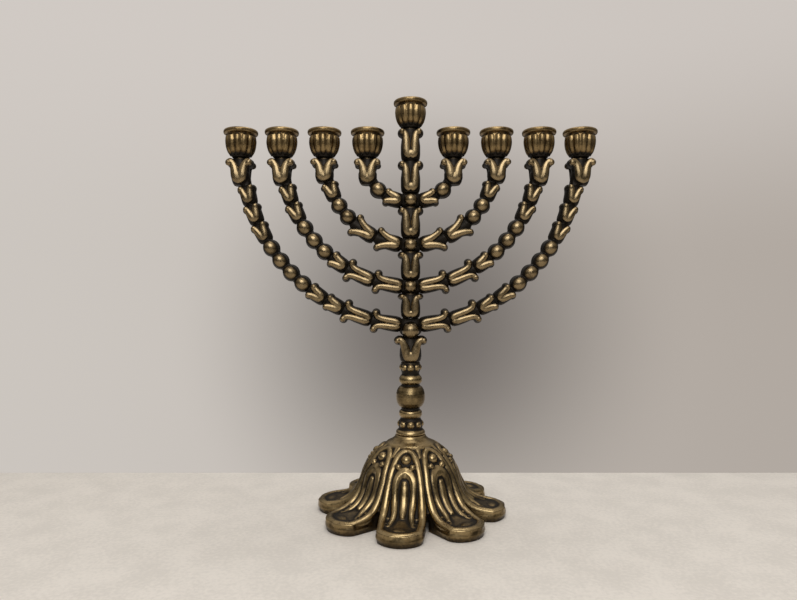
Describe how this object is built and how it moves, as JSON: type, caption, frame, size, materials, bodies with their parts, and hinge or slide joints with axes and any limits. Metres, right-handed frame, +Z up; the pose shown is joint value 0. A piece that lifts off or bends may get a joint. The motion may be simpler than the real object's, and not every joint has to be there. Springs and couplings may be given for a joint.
{
  "type": "menorah",
  "caption": "Branched Hanukkah menorah of antiqued cast brass: raised centre cup, level side cups on concentric blossom arms, turned stem and petal bell base.",
  "frame": {"origin": "centre of the base on the surface it stands on", "axes": "+Z up along the stem, -Y the front that the picture shows, the arms spread along X"},
  "size_m": [0.1566, 0.0786, 0.1721],
  "materials": {
    "antique_brass": "cast brass with a dark brown patina in the hollows and rubbed bright high points",
    "steel": "dull plated fastener"
  },
  "bodies": {
    "base": {"base": "antique_brass"},
    "branches": {"stem": "antique_brass", "low_blossom": "antique_brass", "hub_4": "antique_brass", "hub_3": "antique_brass", "hub_2": "antique_brass", "hub_1": "antique_brass", "column_43": "antique_brass", "column_32": "antique_brass", "column_21": "antique_brass", "top_column": "antique_brass", "arm_1_left": "antique_brass", "arm_1_right": "antique_brass", "arm_2_left": "antique_brass", "arm_2_right": "antique_brass", "arm_3_left": "antique_brass", "arm_3_right": "antique_brass", "arm_4_left": "antique_brass", "arm_4_right": "antique_brass", "cup_top": "antique_brass", "cup_1_left": "antique_brass", "cup_1_right": "antique_brass", "cup_2_left": "antique_brass", "cup_2_right": "antique_brass", "cup_3_left": "antique_brass", "cup_3_right": "antique_brass", "cup_4_left": "antique_brass", "cup_4_right": "antique_brass", "tie_rod": "steel", "washer": "steel", "clamp_nut": "steel"}
  },
  "joints": [
    {"name": "branch_turn", "type": "hinge", "parent": "base", "child": "branches", "pos_m": [0, 0, 0.0324], "axis": [0, 0, 1], "continuous": true}
  ]
}
